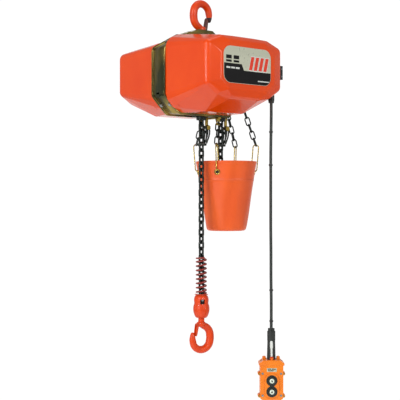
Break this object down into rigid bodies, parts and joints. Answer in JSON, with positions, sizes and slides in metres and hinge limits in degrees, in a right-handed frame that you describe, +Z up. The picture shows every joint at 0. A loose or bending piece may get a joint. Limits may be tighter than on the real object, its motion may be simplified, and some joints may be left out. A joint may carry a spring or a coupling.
{
  "type": "chain hoist",
  "caption": "Electric chain hoist with a two-cover drive unit, top hook, load chain with spring-buffered hook block, slack chain bucket and a hanging push-button pendant.",
  "frame": {"origin": "saddle of the top hook, where the hoist hangs", "axes": "+Z up along the load line; X along the drive unit towards the nameplate; the slack chain bucket is on the +Y side"},
  "size_m": [0.4331, 0.364, 1.145],
  "materials": {
    "cover_orange": "gloss orange enamel",
    "frame_zinc": "yellow zinc passivated",
    "plate_steel": "bright rolled steel",
    "machined_steel": "machined steel",
    "label_silver": "satin",
    "hook_orange": "satin orange paint on forging",
    "latch_dark": "dark paint",
    "winding_iron": "laminated iron",
    "brake_lining": "friction lining",
    "copper_coil": "varnished copper",
    "chain_black": "black oxide, oiled",
    "black_plastic": "moulded",
    "black_iron": "black",
    "spring_red": "red enamel",
    "bucket_vinyl": "coated fabric",
    "gold_zinc": "yellow passivated",
    "cord_rubber": "rubber sheath",
    "wire_steel": "coated wire rope",
    "pendant_yellow": "moulded",
    "button_cap": "moulded"
  },
  "bodies": {
    "hoist_body": {"frame_band": "frame_zinc", "hook_yoke": "frame_zinc", "motor_plate": "plate_steel", "gear_plate": "plate_steel", "gearbox_end_plate": "plate_steel", "motor_cover": "cover_orange", "gear_cover": "cover_orange", "frame_bolts": "machined_steel", "label_plate": "label_silver", "motor_stator": "winding_iron", "shaft_bearings": "machined_steel", "brake_coil": "copper_coil", "sheave_chain": "chain_black", "chain_guide": "black_iron", "chain_stripper": "machined_steel", "contactor": "black_plastic", "transformer": "winding_iron", "power_inlet": "black_plastic", "case_screws": "machined_steel", "slack_chain": "chain_black", "stored_chain": "chain_black", "chain_bucket": "bucket_vinyl", "bucket_bails": "gold_zinc", "bucket_chains": "chain_black", "support_brackets": "gold_zinc", "pendant_cord": "cord_rubber", "pendant_gland": "black_plastic", "support_wire": "wire_steel", "cord_ties": "black_plastic", "pendant_boot": "cord_rubber", "pendant_front": "pendant_yellow", "pendant_back": "pendant_yellow", "button_guard": "pendant_yellow"},
    "top_hook": {"top_hook": "hook_orange", "top_hook_nut": "machined_steel", "top_latch_pin": "machined_steel"},
    "top_latch": {"top_latch": "latch_dark"},
    "motor_shaft": {"motor_rotor": "machined_steel", "cooling_fan": "black_plastic", "brake_disc": "brake_lining"},
    "intermediate_shaft": {"intermediate_gear": "machined_steel", "intermediate_pinion": "machined_steel"},
    "sheave_shaft": {"output_gear": "machined_steel", "load_sheave": "machined_steel"},
    "brake_armature": {"brake_armature": "machined_steel"},
    "hook_block": {"block_half_left": "hook_orange", "block_half_right": "hook_orange", "block_bolts": "machined_steel", "chain_pin": "machined_steel", "buffer_spring": "spring_red", "load_chain_end": "chain_black", "load_chain": "chain_black"},
    "bottom_hook": {"bottom_hook": "hook_orange", "hook_bearing": "machined_steel", "bottom_latch_pin": "machined_steel"},
    "bottom_latch": {"bottom_latch": "hook_orange"},
    "upper_limit_lever": {"upper_limit_lever": "black_iron"},
    "lower_limit_lever": {"lower_limit_lever": "black_iron"},
    "up_button": {"up_button": "button_cap"},
    "down_button": {"down_button": "button_cap"}
  },
  "joints": [
    {"name": "top_hook_swivel", "type": "hinge", "parent": "hoist_body", "child": "top_hook", "pos_m": [0, 0, -0.069], "axis": [0, 0, 1], "continuous": true},
    {"name": "top_latch_pivot", "type": "hinge", "parent": "top_hook", "child": "top_latch", "pos_m": [0, 0.0125, -0.062], "axis": [1, 0, 0], "range_deg": [0, 36], "stiffness_Nm_per_rad": 0.02, "springref_deg": -20.05},
    {"name": "motor_turn", "type": "hinge", "parent": "hoist_body", "child": "motor_shaft", "pos_m": [0, -0.0521, -0.20365], "axis": [1, 0, 0], "range_deg": [-9939.9, 7766.2]},
    {"name": "intermediate_turn", "type": "hinge", "parent": "hoist_body", "child": "intermediate_shaft", "pos_m": [0.04, -0.01585, -0.16567], "axis": [1, 0, 0], "range_deg": [-1554.6, 1989.4]},
    {"name": "sheave_turn", "type": "hinge", "parent": "hoist_body", "child": "sheave_shaft", "pos_m": [0, 0.0369, -0.20365], "axis": [1, 0, 0], "range_deg": [-497.8, 389.2]},
    {"name": "hook_lift", "type": "slide", "parent": "hoist_body", "child": "hook_block", "axis": [0, 0, 1], "range_m": [-0.25, 0.32], "deforming": ["load_chain"]},
    {"name": "bottom_hook_swivel", "type": "hinge", "parent": "hook_block", "child": "bottom_hook", "pos_m": [0, 0, -0.905], "axis": [0, 0, 1], "continuous": true},
    {"name": "bottom_latch_pivot", "type": "hinge", "parent": "bottom_hook", "child": "bottom_latch", "pos_m": [-0.00217, -0.01231, -0.921], "axis": [0.9848, -0.1736, 0], "range_deg": [0, 36], "stiffness_Nm_per_rad": 0.02, "springref_deg": -20.05},
    {"name": "brake_release", "type": "slide", "parent": "hoist_body", "child": "brake_armature", "axis": [-1, 0, 0], "range_m": [0, 0.0006], "stiffness_N_per_m": 4000, "springref_m": -0.001},
    {"name": "upper_limit_trip", "type": "hinge", "parent": "hoist_body", "child": "upper_limit_lever", "pos_m": [0, 0.02, -0.348], "axis": [-1, 0, 0], "range_deg": [0, 3], "stiffness_Nm_per_rad": 1, "springref_deg": -5.73},
    {"name": "lower_limit_trip", "type": "hinge", "parent": "hoist_body", "child": "lower_limit_lever", "pos_m": [0, 0.0938, -0.348], "axis": [-1, 0, 0], "range_deg": [0, 3], "stiffness_Nm_per_rad": 1, "springref_deg": -5.73},
    {"name": "up_button_press", "type": "slide", "parent": "hoist_body", "child": "up_button", "axis": [-0.766, 0.6428, 0], "range_m": [0, 0.004], "stiffness_N_per_m": 400, "springref_m": -0.001},
    {"name": "down_button_press", "type": "slide", "parent": "hoist_body", "child": "down_button", "axis": [-0.766, 0.6428, 0], "range_m": [0, 0.004], "stiffness_N_per_m": 400, "springref_m": -0.001}
  ],
  "couplings": [
    {"joint": "motor_turn", "follows": "hook_lift", "rad_per_m": -542.03},
    {"joint": "intermediate_turn", "follows": "hook_lift", "rad_per_m": 108.41},
    {"joint": "sheave_turn", "follows": "hook_lift", "rad_per_m": -27.101}
  ]
}
